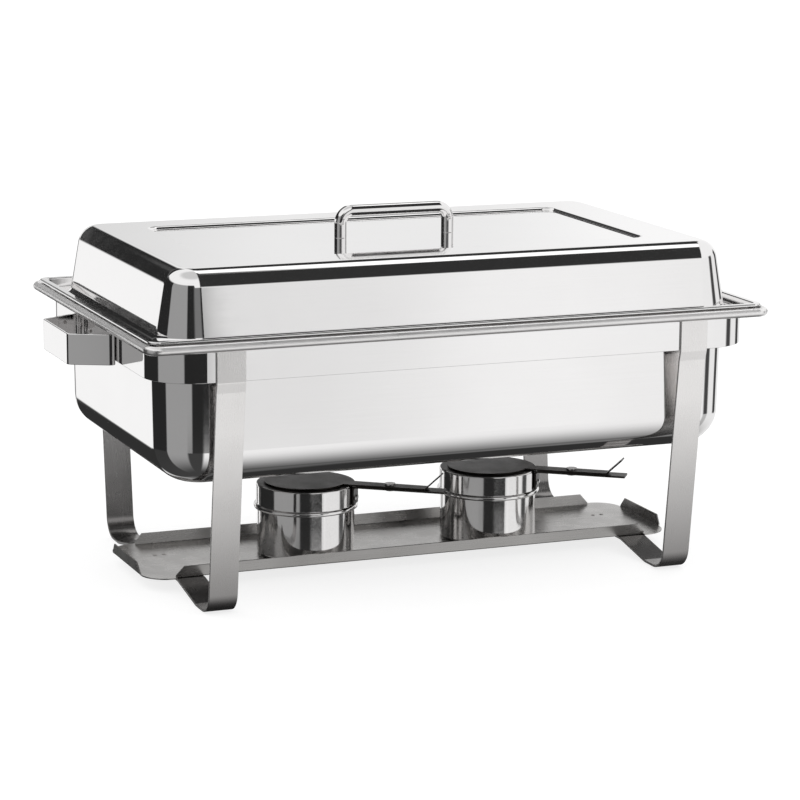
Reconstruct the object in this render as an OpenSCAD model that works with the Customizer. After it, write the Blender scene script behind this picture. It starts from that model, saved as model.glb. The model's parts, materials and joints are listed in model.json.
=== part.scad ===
// Chafing dish food warmer: lid, food pan and water pan on a strip frame with two burners.
// Millimetres, +Z up. The origin is on the floor, at the centre of the footprint.

/* [Frame] */
// Outer length of the ring that carries the pans
ring_length = 518; // [514:0.5:520]
// Outer width of the ring that carries the pans
ring_width = 324; // [322:0.5:326]
// Height of the ring strip
ring_height = 25; // [20:0.5:26]
// Height of the top edge of the ring above the floor
ring_top = 217.5; // [216:0.1:217.5]
// Thickness of the bent frame strips
strip = 2; // [1.5:0.1:2.5]
// Width of each leg strip
leg_width = 24; // [18:0.5:30]
// Distance between the centres of the two leg strips
leg_spacing = 400; // [380:1:410]
// Half of the distance between the feet, to the corner of the bend
foot_reach = 139; // [132:0.5:146]

/* [Handles] */
// Outer length over both end handles
handles_length = 590; // [576:1:600]
// Width of the grip of an end handle
handle_grip = 73; // [60:1:80]
// Height of the handle strip
handle_height = 25; // [20:0.5:25]

/* [Tray] */
// Length of the burner tray
tray_length = 473; // [466:1:480]
// Width of the burner tray at its folds
tray_width = 112.6; // [106:0.2:118]
// Height of the folded tray edges
tray_edge = 10; // [6:0.5:10]

/* [Pans] */
// Outer length of the water pan over its rolled rim
water_rim_length = 539; // [537:0.5:542]
// Outer width of the water pan over its rolled rim
water_rim_width = 339; // [337:0.5:342]
// Height of the underside of the water pan above the floor
water_pan_base = 104.5; // [104.5:0.5:112]
// Height of the underside of the food pan above the floor
food_pan_base = 162; // [150:1:175]
// Sheet thickness of both pans
pan_sheet = 0.9; // [0.8:0.05:1]

/* [Lid] */
// Height of the top of the lid above the floor
lid_top = 277; // [272:0.5:284]
// Depth of the sunk panel in the lid
panel_depth = 2.25; // [2:0.25:3]
// Outer width of the lid handle
lid_handle_width = 106; // [98:0.5:120]
// Clear height of the lid handle, floor of the panel to top of the bar
lid_handle_height = 26.95; // [24:0.05:34]

/* [Burners] */
// Position of the left burner along the tray
burner_left_x = -83.5; // [-87:0.5:-80]
// Position of the right burner along the tray
burner_right_x = 83.5; // [80:0.5:87]
// Position of both burners across the tray
burner_y = -13; // [-13:1:0]
// Outer radius of the burner cup
cup_radius = 41; // [40:0.25:41]
// Reach of the burner handle from the burner centre
burner_handle_reach = 120; // [112:1:124]
// Direction of the burner handles, in degrees from +X
burner_turn = -36; // [-44:1:-28]

/* [Hidden] */
$fn = 72;
bend_steps = 8;
gap = 0.3;
steel = [0.80, 0.81, 0.82];
satin = [0.66, 0.65, 0.63];
dull = [0.50, 0.50, 0.50];
dark = [0.22, 0.21, 0.20];
tin = [0.72, 0.72, 0.70];
gel = [0.62, 0.72, 0.86];

ring_bottom = ring_top - ring_height;
ring_radius = 40;
leg_top = ring_top;
tray_lift = 9.4;
tray_z = tray_lift + strip / 2;
tray_sheet = 1;
handle_z = ring_top - 3 - handle_height;
weld_size = 3;
weld_rise = 0.3;

water_core = [208, 107];
water_corner = 41;
water_ledge = ring_top + gap;
water_roll = 3.6;
water_roll_core = [water_rim_length / 2 - 12, water_rim_width / 2 - 12];

food_core = [207.5, 106.5];
food_corner = 36;
food_ledge = water_ledge + 1 + gap;
food_rim_core = [256, 154];

lid_core = [216.5, 117];
lid_ledge = food_ledge + pan_sheet + gap;
lid_sheet = 0.9;
lid_slope = 0.17;
panel_core = [178, 84];
panel_z = lid_top - panel_depth;
bar_thickness = 9.5;
bar_depth = 11;
screw_x = lid_handle_width / 2 - bar_thickness / 2;

burner_z = tray_z + tray_sheet + gap;
cup_sheet = 0.8;
cover_top = 71.5;
cover_sheet = 0.9;
cup_top = cover_top - 5;
bead_z = 52.5;
opening_radius = 30;
pivot_reach = 73;
grip_z = cover_top - cover_sheet;
lever_z = cover_top + gap;
lever_sheet = 1.2;
pivot_radius = 2.4;
can_radius = 37.5;
can_height = 49;

// ---- strips bent from a centre line ----

function unit(v) = v / norm(v);

// Points of a rounded corner of radius r between the legs b-a and b-c.
function corner(a, b, c, r) =
  let (
    u = unit(a - b),
    w = unit(c - b),
    half = acos(u * w) / 2,
    centre = b + unit(u + w) * r / sin(half),
    p = b + u * r / tan(half) - centre,
    q = b + w * r / tan(half) - centre,
    start = atan2(p[1], p[0]),
    turn = atan2(p[0] * q[1] - p[1] * q[0], p * q)
  )
  [for (k = [0:bend_steps]) centre + r * [cos(start + turn * k / bend_steps), sin(start + turn * k / bend_steps)]];

function centre_line(pts, radii) = concat(
  [pts[0]],
  [for (i = [1:len(pts) - 2]) each corner(pts[i - 1], pts[i], pts[i + 1], radii[i - 1])],
  [pts[len(pts) - 1]]
);

function normal_of(d) = [-d[1], d[0]];

// One side of the strip, at distance off to the left of the centre line.
function side(line, off) = [
  for (i = [0:len(line) - 1])
    let (
      before = unit(line[max(i, 1)] - line[max(i, 1) - 1]),
      after = unit(line[min(i + 1, len(line) - 1)] - line[min(i + 1, len(line) - 1) - 1]),
      n = unit(normal_of(before) + normal_of(after))
    )
    line[i] + n * off / (n * normal_of(before))
];

function reversed(v) = [for (i = [len(v) - 1:-1:0]) v[i]];

module strip_2d(pts, radii, thickness) {
  line = centre_line(pts, radii);
  polygon(concat(side(line, thickness / 2), reversed(side(line, -thickness / 2))));
}

// Turns a drawing in the plane (across, up) into a band of the given length along X.
module along_x(length) {
  translate([-length / 2, 0, 0])
    rotate([90, 0, 90])
      linear_extrude(height = length)
        children();
}

// ---- shapes swept round a rounded rectangle ----

module rounded_2d(half, radius) {
  square([2 * half[0], 2 * (half[1] - radius)], center = true);
  square([2 * (half[0] - radius), 2 * half[1]], center = true);
  for (sx = [-1, 1])
    for (sy = [-1, 1])
      translate([sx * (half[0] - radius), sy * (half[1] - radius)])
        circle(r = radius);
}

// Sweeps a section drawn as (distance from the core, height) round a core rectangle.
module swept(core) {
  for (k = [0:3]) {
    long = (k % 2 == 0) ? core[0] : core[1];
    off = (k % 2 == 0) ? core[1] : core[0];
    rotate([0, 0, 90 * k]) {
      translate([0, off, 0])
        along_x(2 * long)
          children();
      translate([long, off, 0])
        rotate_extrude(angle = 90)
          children();
    }
  }
}

// Filled half section of a basin: a leaning wall through (r_ref, z_ref) and a rounded foot.
module basin_2d(start, r_ref, z_ref, z_top, z_bottom, foot, lean) {
  cz = z_bottom + foot;
  cx = r_ref - (z_ref - cz) * tan(lean) - foot / cos(lean);
  polygon([
    [start, z_bottom],
    [cx, z_bottom],
    [cx + foot * cos(lean), cz - foot * sin(lean)],
    [r_ref + (z_top - z_ref) * tan(lean), z_top],
    [start, z_top]
  ]);
  translate([cx, cz])
    intersection() {
      circle(r = foot);
      translate([0, -foot])
        square([foot, foot]);
    }
}

module basin(core, radius, z_top, z_bottom, foot, lean, sheet) {
  swept(core)
    difference() {
      basin_2d(0, radius, z_top, z_top, z_bottom, foot, lean);
      basin_2d(-1, radius - sheet / cos(lean), z_top, z_top + 1, z_bottom + sheet, foot - sheet, lean);
    }
  translate([-core[0], -core[1], z_bottom])
    cube([2 * core[0], 2 * core[1], sheet]);
}

module flat_frame(outer, opening, radius, z, sheet) {
  translate([0, 0, z])
    linear_extrude(height = sheet)
      difference() {
        square([2 * outer[0], 2 * outer[1]], center = true);
        rounded_2d(opening, radius);
      }
}

// ---- frame ----

module support_ring() {
  half = [ring_length / 2, ring_width / 2];
  color(steel)
    translate([0, 0, ring_bottom])
      linear_extrude(height = ring_height)
        difference() {
          rounded_2d(half, ring_radius);
          rounded_2d(half - [strip, strip], ring_radius - strip);
        }
}

module leg(x) {
  top = ring_width / 2 + strip / 2;
  half = [
    [top, leg_top],
    [top, ring_bottom - 0.5],
    [top - strip, ring_bottom - 8.5],
    [foot_reach, strip / 2],
    [107, strip / 2],
    [60, tray_lift]
  ];
  turns = [4, 4, 18, 15, 15];
  mirrored = [for (p = reversed(half)) [-p[0], p[1]]];
  color(satin)
    translate([x, 0, 0])
      along_x(leg_width)
        strip_2d(concat(half, mirrored), concat(turns, reversed(turns)), strip);
}

module leg_left() {
  leg(-leg_spacing / 2);
}

module leg_right() {
  leg(leg_spacing / 2);
}

module end_handle() {
  tab = ring_length / 2 + strip / 2;
  grip = handles_length / 2 - strip / 2;
  half = handle_grip / 2;
  color(steel)
    translate([0, 0, handle_z])
      linear_extrude(height = handle_height)
        strip_2d(
          [[tab, 34], [tab, 53], [grip, half], [grip, -half], [tab, -53], [tab, -34]],
          [3, 4, 4, 3],
          strip
        );
}

module handle_left() {
  mirror([1, 0, 0])
    end_handle();
}

module handle_right() {
  end_handle();
}

// A turned-up edge of the tray, bent from a strip of its floor.
module tray_fold(reach, length, lean) {
  mid = tray_z + tray_sheet / 2;
  difference() {
    along_x(length)
      strip_2d([[reach - 6, mid], [reach, mid], [reach + lean, tray_z + tray_edge]], [1], tray_sheet);
    for (s = [-1, 1])
      translate([s * length / 2, reach, tray_z + 2.5])
        rotate([0, s * -40, 0])
          translate([s * 10, 0, 5])
            cube([20, 12, 30], center = true);
  }
}

module burner_tray() {
  half = [tray_length / 2, tray_width / 2];
  fold = 2 * half[0] - 49;
  end_fold = 2 * half[1] - 37;
  color(satin) {
    translate([0, 0, tray_z])
      linear_extrude(height = tray_sheet)
        difference() {
          rounded_2d(half + [0, 4], 22);
          for (s = [-1, 1]) {
            translate([0, s * (half[1] + 7)])
              square([fold - 1, 20], center = true);
            translate([s * (half[0] + 7), 0])
              square([20, end_fold - 1], center = true);
          }
        }
    for (turn = [0, 180]) {
      rotate([0, 0, turn])
        tray_fold(half[1], fold, 2.2);
      rotate([0, 0, turn + 90])
        tray_fold(half[0], end_fold, 1);
    }
  }
}

module weld_spot() {
  cylinder(d = weld_size, h = weld_rise);
}

module spot_welds() {
  leg_x = leg_spacing / 2;
  color(dull) {
    for (sx = [-1, 1])
      for (dx = [-1, 7])
        translate([sx * (leg_x + dx), 17, tray_z + tray_sheet])
          weld_spot();
    for (sx = [-1, 1])
      for (sy = [-1, 1]) {
        for (dz = [7, 18])
          translate([sx * leg_x, sy * (ring_width / 2 - strip), ring_bottom + dz])
            rotate([sy * 90, 0, 0])
              weld_spot();
        for (dz = [8, 17])
          translate([sx * (ring_length / 2 + strip), sy * 40, handle_z + dz])
            rotate([0, sx * 90, 0])
              weld_spot();
      }
  }
}

// ---- pans ----

module water_pan() {
  color(steel) {
    basin(water_core, water_corner, water_ledge, water_pan_base, 30, 1, pan_sheet);
    flat_frame(water_roll_core, water_core + [1, 1] * (water_corner - pan_sheet), water_corner - pan_sheet, water_ledge, 1);
    swept(water_roll_core) {
      union() {
        translate([0, water_ledge])
          square([8.4, 1]);
        translate([8.4, water_ledge + 3.1])
          circle(r = water_roll);
      }
    }
  }
}

module food_pan() {
  mid = food_ledge + pan_sheet / 2;
  lip = mid + 7.4;
  color(steel) {
    basin(food_core, food_corner, food_ledge, food_pan_base, 20, 2, pan_sheet);
    flat_frame(food_rim_core, food_core + [1, 1] * (food_corner - pan_sheet), food_corner - pan_sheet, food_ledge, pan_sheet);
    swept(food_rim_core)
      strip_2d([[0, mid], [1.6, mid], [3, lip], [8.2, lip], [8.5, lip - 1.6]], [0.8, 1.2, 0.8], pan_sheet);
  }
}

// ---- lid ----

module lid_shell() {
  base = lid_ledge + lid_sheet / 2;
  crown = lid_top - lid_sheet / 2;
  low = panel_z - lid_sheet / 2;
  foot = 29.6 + (227 - base) * lid_slope;
  shoulder = 29.6 - (crown - 227) * lid_slope;
  color(steel)
    difference() {
      union() {
        swept(lid_core)
          strip_2d([[37.4, base], [foot, base], [shoulder, crown], [0, crown]], [6, 16], lid_sheet);
        flat_frame(lid_core, panel_core + [12, 12], 12, lid_top - lid_sheet, lid_sheet);
        swept(panel_core)
          strip_2d([[0, low], [10 - panel_depth, low], [10, crown], [12, crown]], [1.2, 2.4], lid_sheet);
        translate([-panel_core[0], -panel_core[1], low - lid_sheet / 2])
          cube([2 * panel_core[0], 2 * panel_core[1], lid_sheet]);
      }
      for (s = [-1, 1])
        translate([s * screw_x, 0, panel_z - 5])
          cylinder(d = 4.4, h = 10);
    }
}

module lid_handle() {
  reach = screw_x;
  bar_z = panel_z + lid_handle_height - bar_thickness / 2;
  color(steel)
    difference() {
      rotate([90, 0, 0])
        translate([0, 0, -bar_depth / 2])
          linear_extrude(height = bar_depth)
            strip_2d([[-reach, panel_z], [-reach, bar_z], [reach, bar_z], [reach, panel_z]], [10, 10], bar_thickness);
      for (s = [-1, 1])
        translate([s * reach, 0, panel_z - 1])
          cylinder(d = 4.1, h = 12);
    }
}

module lid_handle_washers() {
  color(dull)
    for (s = [-1, 1])
      translate([s * screw_x, 0, panel_z - lid_sheet - 1])
        difference() {
          cylinder(d = 12, h = 1);
          translate([0, 0, -1])
            cylinder(d = 4.3, h = 3);
        }
}

module lid_handle_screws() {
  seat = panel_z - lid_sheet - 1;
  color(dull)
    for (s = [-1, 1])
      translate([s * screw_x, 0, 0]) {
        translate([0, 0, seat - 2.4])
          difference() {
            cylinder(d = 8, h = 2.4);
            translate([-0.6, -3, -1])
              cube([1.2, 6, 2]);
          }
        translate([0, 0, seat])
          cylinder(d = 4, h = 11);
      }
}

// ---- burners ----

module at_burner(x) {
  translate([x, burner_y, 0])
    rotate([0, 0, burner_turn])
      children();
}

module burner_cup() {
  color(steel)
    rotate_extrude()
      difference() {
        basin_2d(0, cup_radius, cup_top, cup_top, burner_z, 2.5, 0);
        basin_2d(-1, cup_radius - cup_sheet, cup_top, cup_top + 1, burner_z + cup_sheet, 1.7, 0);
      }
}

module burner_cover() {
  outer = cup_radius + 0.1 + cover_sheet;
  color(steel)
    rotate_extrude()
      difference() {
        union() {
          translate([0, bead_z - 2])
            square([outer, cover_top - bead_z + 0.5]);
          translate([0, cover_top - 1.5])
            square([outer - 1.5, 1.5]);
          translate([outer - 1.5, cover_top - 1.5])
            circle(r = 1.5);
          translate([outer, bead_z])
            circle(r = 2);
        }
        translate([-1, 0])
          square([cup_radius + 1.1, cover_top - cover_sheet]);
        translate([-1, cover_top - 3])
          square([opening_radius + 1, 4]);
      }
}

module burner_handle() {
  start = cup_radius + 0.1 + cover_sheet + 0.8;
  color(dark)
    difference() {
      rotate([90, 0, 0])
        translate([0, 0, -7])
          linear_extrude(height = 14)
            strip_2d([[start, bead_z + 3], [start, grip_z], [burner_handle_reach, grip_z]], [2.5], 1.6);
      translate([pivot_reach, 0, 60])
        cylinder(r = pivot_radius, h = 30);
    }
}

module handle_rivets() {
  face = cup_radius + 0.1 + cover_sheet + 1.6;
  color(dull)
    for (y = [-3.5, 3.5])
      translate([face, y, bead_z + 8])
        rotate([0, 90, 0])
          cylinder(d = 3.2, h = 1);
}

module pivot_rivet() {
  color(dull)
    translate([pivot_reach, 0, 0]) {
      translate([0, 0, grip_z - 2])
        cylinder(r = 4, h = 1.2);
      translate([0, 0, grip_z - 0.8])
        cylinder(r = pivot_radius, h = lever_z + lever_sheet + gap - grip_z + 0.8);
      translate([0, 0, lever_z + lever_sheet + gap])
        cylinder(r = 4.5, h = 1.4);
    }
}

module snuffer_lever() {
  bend = burner_handle_reach - 16;
  color(dark)
    difference() {
      union() {
        translate([0, 0, lever_z])
          linear_extrude(height = lever_sheet) {
            circle(r = opening_radius + 5);
            polygon([[20, -20], [34, -7], [bend - 2, -6], [bend - 2, 6], [34, 7], [20, 20]]);
          }
        rotate([90, 0, 0])
          translate([0, 0, -6])
            linear_extrude(height = 12)
              strip_2d(
                [[bend - 3, lever_z + lever_sheet / 2], [bend, lever_z + lever_sheet / 2], [bend + 13, lever_z + 13]],
                [1.5],
                lever_sheet
              );
      }
      translate([pivot_reach, 0, 60])
        cylinder(r = pivot_radius + 0.08, h = 30);
    }
}

module fuel_can() {
  base = burner_z + cup_sheet + gap;
  color(tin)
    translate([0, 0, base])
      rotate_extrude()
        difference() {
          square([can_radius, can_height]);
          translate([0, 0.5])
            square([can_radius - 0.5, can_height - 1]);
          translate([0, can_height - 2])
            square([24, 4]);
        }
}

module fuel_gel() {
  base = burner_z + cup_sheet + gap + 0.5;
  color(gel)
    translate([0, 0, base])
      cylinder(r = can_radius - 0.5, h = can_height - 6);
}

module burner_cup_left() {
  at_burner(burner_left_x)
    burner_cup();
}

module burner_cover_left() {
  at_burner(burner_left_x)
    burner_cover();
}

module burner_handle_left() {
  at_burner(burner_left_x)
    burner_handle();
}

module handle_rivets_left() {
  at_burner(burner_left_x)
    handle_rivets();
}

module pivot_rivet_left() {
  at_burner(burner_left_x)
    pivot_rivet();
}

module snuffer_lever_left() {
  at_burner(burner_left_x)
    snuffer_lever();
}

module fuel_can_left() {
  at_burner(burner_left_x)
    fuel_can();
}

module fuel_gel_left() {
  at_burner(burner_left_x)
    fuel_gel();
}

module burner_cup_right() {
  at_burner(burner_right_x)
    burner_cup();
}

module burner_cover_right() {
  at_burner(burner_right_x)
    burner_cover();
}

module burner_handle_right() {
  at_burner(burner_right_x)
    burner_handle();
}

module handle_rivets_right() {
  at_burner(burner_right_x)
    handle_rivets();
}

module pivot_rivet_right() {
  at_burner(burner_right_x)
    pivot_rivet();
}

module snuffer_lever_right() {
  at_burner(burner_right_x)
    snuffer_lever();
}

module fuel_can_right() {
  at_burner(burner_right_x)
    fuel_can();
}

module fuel_gel_right() {
  at_burner(burner_right_x)
    fuel_gel();
}

support_ring();
leg_left();
leg_right();
handle_left();
handle_right();
burner_tray();
spot_welds();
water_pan();
food_pan();
lid_shell();
lid_handle();
lid_handle_washers();
lid_handle_screws();
burner_cup_left();
burner_cover_left();
burner_handle_left();
handle_rivets_left();
pivot_rivet_left();
snuffer_lever_left();
fuel_can_left();
fuel_gel_left();
burner_cup_right();
burner_cover_right();
burner_handle_right();
handle_rivets_right();
pivot_rivet_right();
snuffer_lever_right();
fuel_can_right();
fuel_gel_right();
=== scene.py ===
"""Chafing dish food warmer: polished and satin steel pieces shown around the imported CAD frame.

Meshes are worked out in millimetres in the CAD frame and stored in metres.
"""

import json
import math

import bpy
import numpy as np
from mathutils import Matrix, Vector


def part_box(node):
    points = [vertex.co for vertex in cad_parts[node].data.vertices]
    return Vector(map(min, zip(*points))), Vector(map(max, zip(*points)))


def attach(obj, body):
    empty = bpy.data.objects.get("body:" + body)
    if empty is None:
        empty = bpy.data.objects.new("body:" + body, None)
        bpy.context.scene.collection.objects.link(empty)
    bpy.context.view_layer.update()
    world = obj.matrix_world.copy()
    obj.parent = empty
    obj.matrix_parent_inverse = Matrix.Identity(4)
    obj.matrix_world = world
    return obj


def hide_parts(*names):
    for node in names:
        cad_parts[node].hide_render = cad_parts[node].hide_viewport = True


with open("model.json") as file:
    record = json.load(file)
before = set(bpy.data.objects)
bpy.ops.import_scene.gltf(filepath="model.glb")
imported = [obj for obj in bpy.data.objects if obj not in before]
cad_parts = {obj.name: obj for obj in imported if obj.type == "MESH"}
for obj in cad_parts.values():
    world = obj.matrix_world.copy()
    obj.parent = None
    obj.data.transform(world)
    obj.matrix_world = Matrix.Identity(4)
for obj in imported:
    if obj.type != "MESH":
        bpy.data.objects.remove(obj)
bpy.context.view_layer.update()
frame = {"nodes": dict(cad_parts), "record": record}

MM = 0.001


def box_mm(node):
    """Lowest and highest corner of a CAD node, in millimetres."""
    low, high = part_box(node)
    return np.array(low) / MM, np.array(high) / MM


# ---- outlines: rounded polylines with exact normals ----

FINE_STEP = math.radians(6)
COARSE_STEP = math.radians(14)
SMALL_RADIUS = 1.0


def unit(v):
    return v / np.linalg.norm(v)


def left(t):
    """The direction a quarter turn to the left of t."""
    return np.array([-t[1], t[0]])


def turned(t, angle):
    c = math.cos(angle)
    s = math.sin(angle)
    return np.array([c * t[0] - s * t[1], s * t[0] + c * t[1]])


def rounded_corner(before, at, after, radius):
    """Points of a rounded corner, each with the left-hand normal of the line there."""
    into = unit(at - before)
    out = unit(after - at)
    turn = math.atan2(into[0] * out[1] - into[1] * out[0], float(into @ out))
    if abs(turn) < 1e-6:
        return [(at, left(into))]
    half = (math.pi - abs(turn)) / 2
    bend = 1.0 if turn > 0 else -1.0
    centre = at + unit(out - into) * radius / math.sin(half)
    step = COARSE_STEP if radius < SMALL_RADIUS else FINE_STEP
    steps = max(2, math.ceil(abs(turn) / step))
    found = []
    for k in range(steps + 1):
        normal = left(turned(into, turn * k / steps))
        found.append((centre - bend * radius * normal, normal))
    return found


def rounded_line(points, radii, closed=False):
    """A polyline with rounded corners, as (point, left-hand normal, index of the corner)."""
    points = [np.array(p, float) for p in points]
    count = len(points)
    found = []
    if not closed:
        found.append((points[0], left(unit(points[1] - points[0])), 0))
    for i in range(0 if closed else 1, count if closed else count - 1):
        radius = radii[i] if closed else radii[i - 1]
        corner = rounded_corner(points[i - 1], points[i], points[(i + 1) % count], radius)
        found += [(p, n, i) for p, n in corner]
    if not closed:
        found.append((points[-1], left(unit(points[-1] - points[-2])), count - 1))
    return found


def mitred(points, off):
    """The polyline shifted to its left by off, with its corners mitred."""
    points = [np.array(p, float) for p in points]
    last = len(points) - 1
    found = []
    for i, p in enumerate(points):
        before = left(unit(points[max(i, 1)] - points[max(i, 1) - 1]))
        after = left(unit(points[min(i + 1, last)] - points[min(i + 1, last) - 1]))
        n = unit(before + after)
        found.append(p + n * off / float(n @ before))
    return found


def sheet_outline(points, radii, cores, thickness, edge):
    """Outline of a sheet that follows a centre line: out along its left side, back along its right."""
    half = thickness / 2
    flip = []
    for i in range(1, len(points) - 1):
        a = np.array(points[i], float) - np.array(points[i - 1], float)
        b = np.array(points[i + 1], float) - np.array(points[i], float)
        flip.append(1 if a[0] * b[1] - a[1] * b[0] > 0 else -1)
    outer = mitred(points, half)
    inner = mitred(points, -half)
    outer_radii = [r - f * half for r, f in zip(radii, flip)]
    inner_radii = [r + f * half for r, f in zip(radii, flip)]
    line = outer + inner[::-1]
    corners = outer_radii + [edge, edge] + inner_radii[::-1]
    tags = cores + cores[::-1]
    return [(p, n, tags[i]) for p, n, i in rounded_line(line, corners)]


# ---- meshes ----


def make_object(name, points, normals, faces, place=None):
    """A mesh object from millimetres, with every face turned the way its normals point."""
    points = np.array(points, float) * MM
    normals = np.array(normals, float)
    if place is not None:
        turn = np.array(place.to_3x3())
        points = points @ turn.T + np.array(place.translation)
        normals = normals @ turn.T
    ordered = []
    for face in faces:
        ring = points[face]
        area = np.zeros(3)
        for k in range(1, len(face) - 1):
            area += np.cross(ring[k] - ring[0], ring[k + 1] - ring[0])
        facing = float(area @ normals[face].sum(0))
        ordered.append(face if facing >= 0 else face[::-1])
    mesh = bpy.data.meshes.new(name)
    mesh.from_pydata(points.tolist(), [], ordered)
    mesh.shade_smooth()
    mesh.normals_split_custom_set_from_vertices(normals.tolist())
    obj = bpy.data.objects.new(name, mesh)
    bpy.context.scene.collection.objects.link(obj)
    return obj


def loft(name, rings, closed=False, capped=False, place=None):
    """Skins rings of (points, normals); closed joins the last ring to the first, capped fills both ends."""
    across = len(rings[0][0])
    points = [p for ring in rings for p in ring[0]]
    normals = [n for ring in rings for n in ring[1]]
    faces = []
    for i in range(len(rings) if closed else len(rings) - 1):
        a = i * across
        b = ((i + 1) % len(rings)) * across
        for j in range(across):
            k = (j + 1) % across
            faces.append([a + j, a + k, b + k, b + j])
    if capped:
        faces.append(list(range(across)))
        faces.append(list(range((len(rings) - 1) * across, len(rings) * across)))
    return make_object(name, points, normals, faces, place)


def frame_ring(core, reach, z, normal, steps=14):
    """A ring round a core rectangle at the given reach; a core of no size gives a circle."""
    point_core = core[0] == 0 and core[1] == 0
    points = []
    normals = []
    for k in range(4):
        middle = math.radians(90 * k + 45)
        centre = (math.copysign(core[0], math.cos(middle)), math.copysign(core[1], math.sin(middle)))
        for i in range(steps if point_core else steps + 1):
            angle = math.radians(90 * (k + i / steps))
            c = math.cos(angle)
            s = math.sin(angle)
            points.append((centre[0] + reach * c, centre[1] + reach * s, z))
            normals.append((normal[0] * c, normal[0] * s, normal[1]))
    return points, normals


def swept(name, outline, closed=False, capped=False, place=None):
    """Sweeps an outline of (across, up) points round the core rectangle that each point names."""
    rings = [frame_ring(core, p[0] - core[0], p[1], n) for p, n, core in outline]
    return loft(name, rings, closed, capped, place)


def bar_section(width, thickness, edge):
    """A rounded rectangle, as (across, out) points and normals."""
    half = (width / 2, thickness / 2)
    corners = [(half[0], -half[1]), (half[0], half[1]), (-half[0], half[1]), (-half[0], -half[1])]
    return [(p, -n) for p, n, _ in rounded_line(corners, [edge] * 4, closed=True)]


def bar(name, points, radii, plane, width, thickness, edge, place=None, end_edge=None):
    """A strip or bar that follows a line in a plane, with rounded edges and ends.

    The plane is given as the line's first and second axis and the axis of the bar's width.
    """
    first, second, wide = [np.array(v, float) for v in plane]
    line = rounded_line(points, radii)
    section = bar_section(width, thickness, edge)
    rings = []

    def ring(p, n, slide, shrink, tilt):
        along = np.array([n[1], -n[0]])
        q = p + along * slide
        out = first * n[0] + second * n[1]
        ahead = (first * along[0] + second * along[1]) * (1 if slide > 0 else -1)
        pts = []
        nrm = []
        for s, m in section:
            s = s - m * shrink
            pts.append(first * q[0] + second * q[1] + wide * s[0] + out * s[1])
            side = wide * m[0] + out * m[1]
            nrm.append(side * math.cos(tilt) + ahead * math.sin(tilt))
        rings.append((pts, nrm))

    tilts = [math.radians(a) for a in (90, 60, 30)]
    start, start_normal, _ = line[0]
    end, end_normal, _ = line[-1]
    inset = edge if end_edge is None else end_edge
    along_start = np.array([start_normal[1], -start_normal[0]])
    along_end = np.array([end_normal[1], -end_normal[0]])
    for a in tilts:
        ring(start + along_start * inset, start_normal, -inset * math.sin(a), inset * (1 - math.cos(a)), a)
    ring(start + along_start * inset, start_normal, 0, 0, 0)
    for p, n, _ in line[1:-1]:
        ring(p, n, 0, 0, 0)
    ring(end - along_end * inset, end_normal, 0, 0, 0)
    for a in reversed(tilts):
        ring(end - along_end * inset, end_normal, inset * math.sin(a), inset * (1 - math.cos(a)), a)
    return loft(name, rings, capped=True, place=place)


# ---- materials ----


class Nodes:
    """Small helper that adds and links shader nodes."""

    def __init__(self, material):
        self.tree = material.node_tree
        self.shader = self.tree.nodes["Principled BSDF"]

    def add(self, kind, **values):
        node = self.tree.nodes.new(kind)
        for key, value in values.items():
            if hasattr(node, key):
                setattr(node, key, value)
            else:
                node.inputs[key.replace("_", " ")].default_value = value
        return node

    def link(self, out, into):
        self.tree.links.new(out, into)

    def noise(self, stretch, scale, detail=3.0):
        """Noise in the object's own metres, stretched by a factor for each axis."""
        place = self.add("ShaderNodeTexCoord")
        mapping = self.add("ShaderNodeMapping")
        mapping.inputs["Scale"].default_value = stretch
        self.link(place.outputs["Object"], mapping.inputs["Vector"])
        noise = self.add("ShaderNodeTexNoise", Scale=scale, Detail=detail)
        self.link(mapping.outputs["Vector"], noise.inputs["Vector"])
        return noise.outputs["Fac"]

    def ranged(self, value, low, high, start=0.3, stop=0.7):
        node = self.add("ShaderNodeMapRange")
        node.inputs["From Min"].default_value = start
        node.inputs["From Max"].default_value = stop
        node.inputs["To Min"].default_value = low
        node.inputs["To Max"].default_value = high
        self.link(value, node.inputs["Value"])
        return node.outputs["Result"]

    def blended(self, value, first, second):
        """Mixes two colours; the first may also be another node's output."""
        node = self.add("ShaderNodeMix", data_type="RGBA")
        first_socket, second_socket = [socket for socket in node.inputs if socket.type == "RGBA"]
        if isinstance(first, tuple):
            first_socket.default_value = (*first, 1)
        else:
            self.link(first, first_socket)
        second_socket.default_value = (*second, 1)
        self.link(value, node.inputs["Factor"])
        return next(socket for socket in node.outputs if socket.type == "RGBA")

    def weighted(self, value, weight, extra):
        node = self.add("ShaderNodeMath", operation="MULTIPLY_ADD")
        self.link(value, node.inputs[0])
        node.inputs[1].default_value = weight
        self.link(extra, node.inputs[2])
        return node.outputs[0]

    def bump(self, value, depth, strength, onto=None):
        node = self.add("ShaderNodeBump")
        node.inputs["Distance"].default_value = depth
        node.inputs["Strength"].default_value = strength
        self.link(value, node.inputs["Height"])
        if onto is not None:
            self.link(onto, node.inputs["Normal"])
        return node.outputs["Normal"]


# Height in metres over which the painted shade at a leg's foot fades out.
SHADE_FADE_HEIGHT = 0.15


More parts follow.
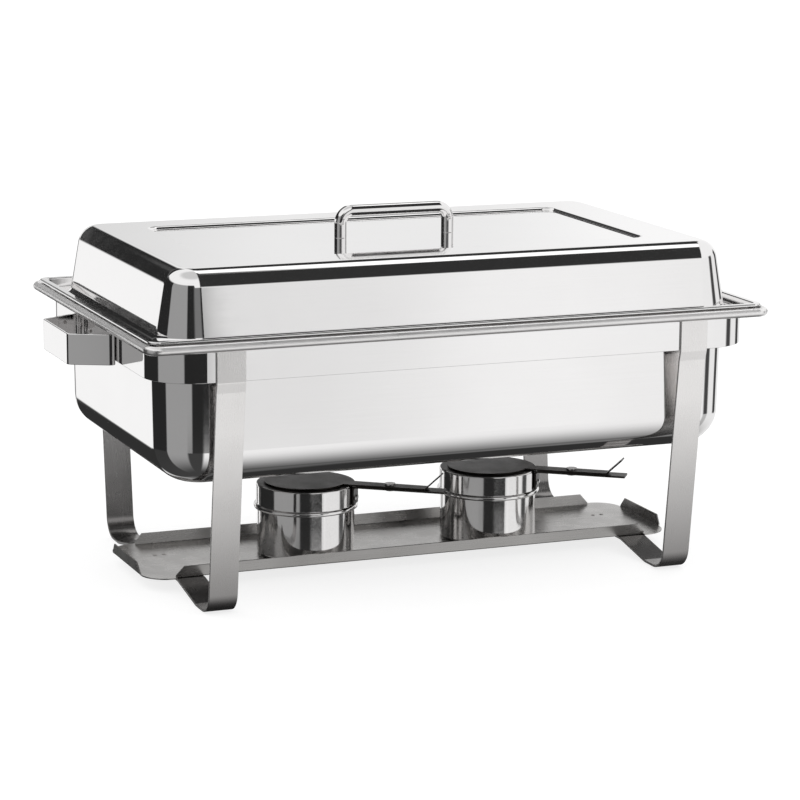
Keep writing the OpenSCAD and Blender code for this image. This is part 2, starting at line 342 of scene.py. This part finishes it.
def steel(name, bright, dull, rough, grain, grain_scale, grain_depth, wave_depth, foot=None):
    """Steel with a directional grain, cloudy tint, uneven roughness and faint polishing waves.

    With a foot colour, the steel's colour darkens towards the floor: painted shade standing in for the
    shadowed floor that the legs reflect near their feet.
    """
    material = bpy.data.materials.new(name)
    material.use_nodes = True
    nodes = Nodes(material)
    nodes.shader.inputs["Metallic"].default_value = 1.0
    clouds = nodes.noise((1, 1, 1), 14, 4)
    lines = nodes.noise(grain, grain_scale, 4)
    smudges = nodes.noise((1, 1, 1), 60, 5)
    both = nodes.weighted(lines, 0.6, nodes.ranged(clouds, 0.0, 0.4))
    colour = nodes.blended(nodes.ranged(both, 0, 1, 0.2, 0.8), dull, bright)
    # Painted shade: the base colour darkens to the foot colour towards the floor.
    if foot is not None:
        place = nodes.add("ShaderNodeTexCoord")
        split = nodes.add("ShaderNodeSeparateXYZ")
        nodes.link(place.outputs["Object"], split.inputs[0])
        colour = nodes.blended(nodes.ranged(split.outputs["Z"], 1, 0, 0.0, SHADE_FADE_HEIGHT), colour, foot)
    nodes.link(colour, nodes.shader.inputs["Base Color"])
    mixed = nodes.weighted(lines, 0.7, nodes.ranged(smudges, 0.0, 0.3))
    nodes.link(nodes.ranged(mixed, *rough, 0.2, 0.8), nodes.shader.inputs["Roughness"])
    waves = nodes.bump(nodes.noise((1, 1, 1), 9, 1), wave_depth, 1.0)
    nodes.link(nodes.bump(lines, grain_depth, 1.0, waves), nodes.shader.inputs["Normal"])
    return material


def gel_material(name):
    material = bpy.data.materials.new(name)
    material.use_nodes = True
    nodes = Nodes(material)
    clouds = nodes.noise((1, 1, 1), 90, 3)
    tint = nodes.blended(nodes.ranged(clouds, 0, 1), (0.45, 0.62, 0.86), (0.62, 0.74, 0.90))
    nodes.link(tint, nodes.shader.inputs["Base Color"])
    nodes.link(nodes.ranged(clouds, 0.15, 0.35), nodes.shader.inputs["Roughness"])
    nodes.link(nodes.bump(clouds, 0.0004, 0.6), nodes.shader.inputs["Normal"])
    nodes.shader.inputs["Transmission Weight"].default_value = 0.35
    return material


ALONG_X = (0.02, 1.0, 1.0)
ALONG_YZ = (1.0, 0.02, 0.02)
EVEN = (1.0, 1.0, 1.0)

# Bright and dull colour, roughness range, grain direction, grain scale, grain depth and wave depth in metres.
STEELS = {
    "polished_steel": ((0.94, 0.932, 0.93), (0.91, 0.90, 0.898), (0.03, 0.07), ALONG_X, 900, 4e-7, 1.1e-4),
    "pan_steel": ((0.90, 0.893, 0.89), (0.85, 0.843, 0.84), (0.07, 0.14), ALONG_X, 900, 8e-7, 6e-5),
    "rim_steel": ((0.97, 0.96, 0.955), (0.92, 0.91, 0.905), (0.26, 0.36), ALONG_X, 1800, 1e-6, 4e-5),
    # Satin steel tone, with its base colour also lowered as painted shade for the tray lying under the pan
    # and its downward-facing folds.
    "satin_steel": ((0.50, 0.49, 0.48), (0.38, 0.37, 0.36), (0.22, 0.34), ALONG_X, 1500, 2e-6, 6e-5),
    "leg_steel": ((0.93, 0.915, 0.905), (0.87, 0.855, 0.845), (0.22, 0.30), ALONG_YZ, 2600, 1e-6, 3e-5),
    "burner_steel": ((0.88, 0.87, 0.865), (0.78, 0.77, 0.765), (0.05, 0.12), EVEN, 700, 1e-6, 5e-5),
    # Near-black steel. On the burner cover tops it is painted shade, in place of the dark pan bottom that the
    # polished top reflects.
    "dark_steel": ((0.06, 0.054, 0.05), (0.03, 0.027, 0.025), (0.28, 0.45), EVEN, 900, 6e-6, 5e-5),
    "fastener_steel": ((0.72, 0.71, 0.70), (0.55, 0.54, 0.53), (0.18, 0.34), EVEN, 1500, 4e-6, 2e-5),
    "weld_mark": ((0.60, 0.58, 0.56), (0.44, 0.42, 0.41), (0.35, 0.60), EVEN, 2500, 2e-5, 2e-5),
    "tin_plate": ((0.80, 0.80, 0.78), (0.66, 0.66, 0.64), (0.16, 0.30), EVEN, 900, 4e-6, 3e-5),
}
# Painted shade: the leg colour darkens to this near the floor, in place of the shadowed floor it would
# reflect.
FOOT_SHADE_COLOURS = {"leg_steel": (0.24, 0.232, 0.228)}

MATERIALS = {name: steel(name, *values, foot=FOOT_SHADE_COLOURS.get(name)) for name, values in STEELS.items()}
MATERIALS["fuel_gel"] = gel_material("fuel_gel")


def finish_piece(obj, material, slot, body, *replaced):
    """Gives a piece its material, and puts it on a body in place of CAD nodes. The slot argument is not used.
    """
    obj.data.materials.append(MATERIALS[material])
    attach(obj, body)
    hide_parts(*replaced)
    return obj


# ---- frame ----

STRIP = 2.0
ring_low, ring_high = box_mm("support_ring")


def make_support_ring():
    radius = 40.0
    core = (ring_high[0] - radius, ring_high[1] - radius)
    outer = ring_high[0]
    corners = [
        (outer - STRIP, ring_low[2]),
        (outer, ring_low[2]),
        (outer, ring_high[2]),
        (outer - STRIP, ring_high[2]),
    ]
    outline = [(p, -n, core) for p, n, _ in rounded_line(corners, [0.4] * 4, closed=True)]
    obj = swept("ring_band", outline, closed=True)
    finish_piece(obj, "polished_steel", "polished_steel", "frame", "support_ring")


def make_leg(side):
    """A strip bent into a U: a step under the ring, two feet and a raised saddle for the tray."""
    node = "leg_" + side
    low, high = box_mm(node)
    centre = (low[0] + high[0]) / 2
    top = high[1] - STRIP / 2
    step_start = ring_low[2] - 0.5
    step_end = ring_low[2] - 8.5
    foot_outer = 139
    foot_inner = 107
    saddle_reach = 60
    saddle_height = 9.4
    half = [
        (top, high[2]),
        (top, step_start),
        (top - STRIP, step_end),
        (foot_outer, STRIP / 2),
        (foot_inner, STRIP / 2),
        (saddle_reach, saddle_height),
    ]
    turns = [4, 4, 18, 15, 15]
    line = half + [(-y, z) for y, z in reversed(half)]
    plane = ((0, 1, 0), (0, 0, 1), (1, 0, 0))
    place = Matrix.Translation((centre * MM, 0, 0))
    obj = bar("strip_" + node, line, turns + turns[::-1], plane, high[0] - low[0], STRIP, 0.45, place)
    finish_piece(obj, "leg_steel", "satin_steel", "frame", node)


def make_end_handle(side):
    """A strip bent out from two tabs on the ring."""
    node = "handle_" + side
    low, high = box_mm(node)
    sign = -1 if side == "left" else 1
    tab = ring_high[0] + STRIP / 2
    tab_inner = 34
    tab_outer = 53
    grip = max(abs(low[0]), abs(high[0])) - STRIP / 2
    grip_half = 36.5
    half = [(tab, tab_inner), (tab, tab_outer), (grip, grip_half)]
    line = half + [(x, -y) for x, y in reversed(half)]
    line = [(sign * x, y) for x, y in line]
    plane = ((1, 0, 0), (0, 1, 0), (0, 0, 1))
    place = Matrix.Translation((0, 0, (low[2] + high[2]) / 2 * MM))
    obj = bar("end_" + node, line, [3, 4, 4, 3], plane, high[2] - low[2], STRIP, 0.45, place)
    finish_piece(obj, "polished_steel", "polished_steel", "frame", node)


# ---- pans and lid ----


def make_water_pan():
    """A deep pan whose ledge rests on the ring and ends in a rolled, duller rim."""
    core = (208.0, 107.0)
    rim = (257.5, 157.5)
    sheet = 0.9
    low, high = box_mm("water_pan")
    gap = 0.3
    ledge = ring_high[2] + gap
    ledge_sheet = 1
    corner = 41.0
    lean = math.tan(math.radians(1))
    foot = corner - (ledge - low[2]) * lean
    inner_foot = foot - sheet
    roll = 3.55
    roll_width = 7.2
    end = rim[0] + 12.0
    lip = ledge - 0.5
    start = core[0] + 2
    points = [
        (start, low[2] + sheet, core),
        (core[0] + inner_foot, low[2] + sheet, core),
        (core[0] + corner - sheet, ledge + ledge_sheet, core),
        (end - roll_width, ledge + ledge_sheet, rim),
        (end - roll_width, high[2], rim),
        (end, high[2], rim),
        (end, lip, rim),
        (end - 5.4, lip, rim),
        (end - 6.0, ledge, rim),
        (core[0] + corner, ledge, core),
        (core[0] + foot, low[2], core),
        (start, low[2], core),
    ]
    radii = [29.1, 1.6, 0.5, roll, roll, roll, 0.3, 0.3, 1.2, 30]
    line = rounded_line([p[:2] for p in points], radii)
    outline = [(p, n, points[i][2]) for p, n, i in line]
    obj = swept("water_pan_body", outline, capped=True)
    finish_piece(obj, "polished_steel", "polished_steel", "water_pan", "water_pan")
    obj.data.materials.append(MATERIALS["rim_steel"])
    across = len(frame_ring(core, 0, 0, (0, 1))[0])
    for face in obj.data.polygons:
        ring = face.index // across
        if ring + 1 < len(outline) and outline[ring][2] == rim and outline[ring + 1][2] == rim:
            face.material_index = 1


def make_food_pan():
    """A shallower pan that hangs in the water pan by its flanged rim."""
    core = (207.5, 106.5)
    rim = (256.0, 154.0)
    sheet = 0.9
    ledge_rise = 1.6
    low, high = box_mm("food_pan")
    mid = ring_high[2] + ledge_rise + sheet / 2
    corner = 36 - sheet / 2
    lean = math.tan(math.radians(2))
    floor = low[2] + sheet / 2
    lip = high[2] - sheet / 2
    points = [
        (core[0] + 2, floor, core),
        (core[0] + corner - (mid - floor) * lean, floor, core),
        (core[0] + corner, mid, core),
        (rim[0] + 1.6, mid, rim),
        (rim[0] + 3.0, lip, rim),
        (rim[0] + 8.2, lip, rim),
        (rim[0] + 8.5, lip - 1.6, rim),
    ]
    radii = [19.5, 1.5, 0.9, 1.2, 0.8]
    outline = sheet_outline([p[:2] for p in points], radii, [p[2] for p in points], sheet, 0.3)
    obj = swept("food_pan_body", outline, capped=True)
    finish_piece(obj, "pan_steel", "pan_steel", "food_pan", "food_pan")


def make_lid():
    """A lid with leaning walls, a flange round its foot and a sunk panel on top."""
    core = (216.5, 117.0)
    panel = (178.0, 84.0)
    sheet = 0.9
    low, high = box_mm("lid_shell")
    base = low[2] + sheet / 2
    crown = high[2] - sheet / 2
    panel_depth = 2.25
    sunk = crown - panel_depth
    panel_edge = 10
    panel_foot = 8.7
    slope = 0.17
    wall_height = 227
    wall_reach = 29.6
    foot = wall_reach + (wall_height - base) * slope
    shoulder = wall_reach - (crown - wall_height) * slope
    flange = 37.4
    points = [
        (panel[0] + 2, sunk, panel),
        (panel[0] + panel_foot, sunk, panel),
        (panel[0] + panel_edge, crown, panel),
        (core[0] + shoulder, crown, core),
        (core[0] + foot, base, core),
        (core[0] + flange, base, core),
    ]
    radii = [1.0, 3.0, 16, 6]
    outline = sheet_outline([p[:2] for p in points], radii, [p[2] for p in points], sheet, 0.35)
    obj = swept("lid_cover", outline, capped=True)
    finish_piece(obj, "polished_steel", "polished_steel", "lid", "lid_shell")


def make_lid_handle():
    """A rounded bar bent into a U that stands on the sunk panel."""
    low, high = box_mm("lid_handle")
    thick = 9.5
    reach = high[0] - thick / 2
    top = high[2] - thick / 2
    line = [(-reach, low[2]), (-reach, top), (reach, top), (reach, low[2])]
    plane = ((1, 0, 0), (0, 0, 1), (0, 1, 0))
    obj = bar("lid_grip", line, [10, 10], plane, high[1] - low[1], thick, 4.0, end_edge=0.3)
    finish_piece(obj, "polished_steel", "polished_steel", "lid", "lid_handle")


# ---- burners ----

CENTRE = (0.0, 0.0)
BURNER_TURN = math.radians(-36)


def make_burner(side):
    """An open cup and the ring-shaped cover over it, turned as the burner stands."""
    low, high = box_mm("burner_cup_" + side)
    spot = Vector(((low[0] + high[0]) / 2 * MM, (low[1] + high[1]) / 2 * MM, 0))
    place = Matrix.Translation(spot) @ Matrix.Rotation(BURNER_TURN, 4, "Z")
    body = "burner_" + side
    radius = (high[0] - low[0]) / 2
    base = low[2]
    cup_top = high[2]
    sheet = 0.8

    floor_reach = radius - 12
    line = [
        (floor_reach, base + sheet),
        (radius - sheet, base + sheet),
        (radius - sheet, cup_top),
        (radius, cup_top),
        (radius, base),
        (floor_reach, base),
    ]
    outline = [(p, n, CENTRE) for p, n, _ in rounded_line(line, [1.7, 0.3, 0.3, 2.5])]
    cup = swept("cup_" + side, outline, capped=True, place=place)
    finish_piece(cup, "burner_steel", "burner_steel", body, "burner_cup_" + side)

    cover_low, cover_high = box_mm("burner_cover_" + side)
    top = cover_high[2]
    cover_sheet = 0.9
    skirt = radius + 1.0
    bead = cover_low[2]
    bead_reach = skirt + 2
    bead_top = bead + 4
    mouth = 30
    line = [
        (skirt - cover_sheet, bead),
        (bead_reach, bead),
        (bead_reach, bead_top),
        (skirt, bead_top),
        (skirt, top),
        (mouth, top),
        (mouth, top - cover_sheet),
        (skirt - cover_sheet, top - cover_sheet),
    ]
    radii = [0.25, 1.95, 1.95, 0.5, 1.5, 0.35, 0.35, 0.6]
    outline = [(p, -n, CENTRE) for p, n, _ in rounded_line(line, radii, closed=True)]
    cover = swept("cover_" + side, outline, closed=True, place=place)
    finish_piece(cover, "burner_steel", "burner_steel", body, "burner_cover_" + side)
    # Painted shade: the cover's top faces get near-black steel, standing in for the dark pan bottom that they
    # reflect.
    cover.data.materials.append(MATERIALS["dark_steel"])
    for face in cover.data.polygons:
        if face.normal.z > 0.9 and face.center.z > (top - 1.0) * MM:
            face.material_index = 1


# ---- studio ----


def make_floor():
    """A pale floor that the steel doesn't reflect."""
    mesh = bpy.data.meshes.new("floor")
    reach = 6.0
    corners = [(-1, -1), (1, -1), (1, 1), (-1, 1)]
    mesh.from_pydata([(x * reach, y * reach, 0) for x, y in corners], [], [(0, 1, 2, 3)])
    floor = bpy.data.objects.new("floor", mesh)
    floor.location = (0, 0, -0.0005)
    bpy.context.scene.collection.objects.link(floor)
    material = bpy.data.materials.new("pale_floor")
    material.use_nodes = True
    shader = material.node_tree.nodes["Principled BSDF"]
    shader.inputs["Base Color"].default_value = (0.30, 0.30, 0.30, 1)
    shader.inputs["Roughness"].default_value = 0.9
    shader.inputs["Specular IOR Level"].default_value = 0.0
    shader.inputs["Emission Color"].default_value = (1, 1, 1, 1)
    shader.inputs["Emission Strength"].default_value = 0.78
    mesh.materials.append(material)
    floor.visible_glossy = False


# What the polished steel sees, in bands: (start in degrees, half width of the change, brightness).
# A brightness of None stands for the bands around the horizon.
# The tables around the horizon are by azimuth: far below it, just below it and above it.
AROUND_UNDER = [
    (0, 0, 0.85),
    (100, 2, 0.04),
    (172, 2, 0.32),
    (225, 3, 0.05),
    (262, 4, 0.90),
    (335, 3, 0.50),
    (350, 3, 0.85),
]
LEFT_END = [
    (119, 1.5, 0.02),
    (172, 2, 0.32),
    (236, 2, 0.02),
]
FRONT = [
    (288, 0.7, 0.80),
    (292.5, 2, 0.94),
    (297, 2, 0.88),
    (335, 3, 0.06),
    (350, 3, 0.85),
]
AROUND_LOW = [
    (0, 0, 0.85),
    (14, 2, 0.06),
    (30, 2, 0.85),
    (95.5, 1, 0.03),
    (103, 1.5, 0.97),
    *LEFT_END,
    *FRONT,
]
AROUND_HIGH = [
    (0, 0, 0.85),
    (14, 2, 0.06),
    (30, 2, 0.98),
    (65, 2, 0.86),
    (72, 2, 0.74),
    (90, 6, 1.0),
    *LEFT_END,
    (260, 4, 0.18),
    (282, 3, 0.02),
    *FRONT,
]
# By elevation: the whole lower field, the whole upper field, and two dark bands laid over them.
LOWER = [(-90, 0, 0.05), (-50, 32, None)]
ABOVE = [(-90, 0, 0.92), (62, 8, 0.62)]
ROOF_BAND = [(-90, 0, 0.03), (52, 2, 1.3), (70, 2, 0.03)]
BACK_BAND = [(-90, 0, 0.02), (20, 1.5, 0.14), (23.5, 1, 0.03)]
BACK_SPLIT = 79
# Where one table gives way to the next, in degrees of elevation.
FAR_BELOW = -15
JUST_ABOVE = 2
UPPER_FIELD = 14
# The side tables reach higher between these azimuths, so that the lid's left corner stays dark.
CORNER = (112, 262)
CORNER_RISE = 13
# The two dark bands: one over the roof within this range of x, one behind within this range of y.
ROOF_REACH = (0.22, 0.50)
BEHIND_REACH = (0.80, 0.955)
DARK = 0.03
# What lights everything but the reflections.
EVEN_LIGHT = 1.15


def make_world():
    """Even light for the scene, and the banded studio that only reflections show."""
    world = bpy.data.worlds.new("studio")
    bpy.context.scene.world = world
    world.use_nodes = True
    tree = world.node_tree
    tree.nodes.clear()

    def add(kind, **settings):
        node = tree.nodes.new(kind)
        for key, value in settings.items():
            setattr(node, key, value)
        return node

    def math_node(operation, first, second=None, third=None):
        node = add("ShaderNodeMath", operation=operation)
        for socket, value in zip(node.inputs, (first, second, third)):
            if value is None:
                continue
            if isinstance(value, (int, float)):
                socket.default_value = value
            else:
                tree.links.new(value, socket)
        return node.outputs[0]

    def step(value, edge, width):
        """0 below the edge and 1 above it, with a soft change between."""
        node = add("ShaderNodeMapRange", interpolation_type="SMOOTHSTEP")
        tree.links.new(value, node.inputs["Value"])
        node.inputs["From Min"].default_value = edge - width
        node.inputs["From Max"].default_value = edge + width
        return node.outputs["Result"]

    def bands(value, table, fallback=None):
        """The brightness that a table gives at a value; fallback stands for None in the table."""
        levels = [fallback if level is None else level for _, _, level in table]
        total = levels[0]
        for (start, width, _), level, before in zip(table[1:], levels[1:], levels):
            change = math_node("SUBTRACT", level, before)
            total = math_node("MULTIPLY_ADD", step(value, start, width), change, total)
        return total

    def mixed(amount, first, second):
        """The first where the amount is 0 and the second where it is 1."""
        return math_node("MULTIPLY_ADD", amount, math_node("SUBTRACT", second, first), first)

    def times(first, second):
        return math_node("MULTIPLY", first, second)

    def between(value, low, high, width):
        """1 between low and high and 0 elsewhere, with soft changes."""
        return math_node("SUBTRACT", step(value, low, width), step(value, high, width))

    direction = add("ShaderNodeTexCoord").outputs["Generated"]
    split = add("ShaderNodeSeparateXYZ")
    tree.links.new(direction, split.inputs[0])
    x, y, z = split.outputs
    azimuth = math_node("DEGREES", math_node("ARCTAN2", y, x))
    azimuth = math_node("MODULO", math_node("ADD", azimuth, 360), 360)
    elevation = math_node("DEGREES", math_node("ARCSINE", z))
    under = mixed(step(elevation, FAR_BELOW, 1), bands(azimuth, AROUND_UNDER), bands(azimuth, AROUND_LOW))
    around = mixed(step(elevation, JUST_ABOVE, 1), under, bands(azimuth, AROUND_HIGH))
    lowered = math_node("MULTIPLY_ADD", between(azimuth, *CORNER, 2), -CORNER_RISE, elevation)
    lower_field = bands(elevation, LOWER, around)
    open_field = mixed(step(lowered, UPPER_FIELD, 3), lower_field, bands(elevation, ABOVE))

    across = between(x, *ROOF_REACH, 0.02)
    behind = between(y, *BEHIND_REACH, 0.004)
    front = mixed(times(across, step(elevation, 16, 3)), open_field, DARK)
    back_right = mixed(times(across, step(elevation, 25, 2)), open_field, bands(elevation, ROOF_BAND))
    back_left = mixed(times(behind, between(elevation, 2, 40, 2)), open_field, bands(elevation, BACK_BAND))
    back = mixed(step(azimuth, BACK_SPLIT, 2), back_right, back_left)
    back = mixed(times(behind, between(elevation, -32, -15.5, 1.5)), back, DARK)
    back = mixed(times(across, between(elevation, -70, -15.5, 1.5)), back, DARK)
    pattern = mixed(step(y, 0.0, 0.05), front, back)

    rays = add("ShaderNodeLightPath")
    level = mixed(rays.outputs["Is Glossy Ray"], EVEN_LIGHT, pattern)
    background = add("ShaderNodeBackground")
    background.inputs["Color"].default_value = (1, 1, 1, 1)
    tree.links.new(level, background.inputs["Strength"])
    output = add("ShaderNodeOutputWorld")
    tree.links.new(background.outputs[0], output.inputs["Surface"])


def make_camera():
    """A long-lens camera in front and to the left, looking down a little."""
    data = bpy.data.cameras.new("camera")
    data.sensor_width = 36.0
    data.lens = 135.7
    data.clip_end = 50
    camera = bpy.data.objects.new("camera", data)
    yaw = math.radians(-22.05)
    pitch = math.radians(-11.67)
    roll = math.radians(0.45)
    ahead = Vector((-math.sin(yaw) * math.cos(pitch), math.cos(yaw) * math.cos(pitch), math.sin(pitch)))
    level = ahead.cross(Vector((0, 0, 1))).normalized()
    upright = level.cross(ahead)
    right = level * math.cos(roll) + upright * math.sin(roll)
    top = upright * math.cos(roll) - level * math.sin(roll)
    turn = Matrix((right, top, -ahead)).transposed()
    camera.matrix_world = Matrix.Translation((-0.93625, -2.32768, 0.6511)) @ turn.to_4x4()
    bpy.context.scene.collection.objects.link(camera)
    bpy.context.scene.camera = camera


def dress_cad_nodes():
    """Gives every CAD node that stays on show the material of its slot."""
    for part in frame["record"]["subparts"]:
        node = frame["nodes"][part["node"]]
        material = MATERIALS[part["material_slot"]]
        if not node.material_slots:
            node.data.materials.append(material)
        for held in node.material_slots:
            held.material = material


dress_cad_nodes()
make_support_ring()
for side in ("left", "right"):
    make_leg(side)
    make_end_handle(side)
    make_burner(side)
make_water_pan()
make_food_pan()
make_lid()
make_lid_handle()
make_floor()
make_world()
make_camera()
bpy.context.scene.view_settings.view_transform = "Standard"
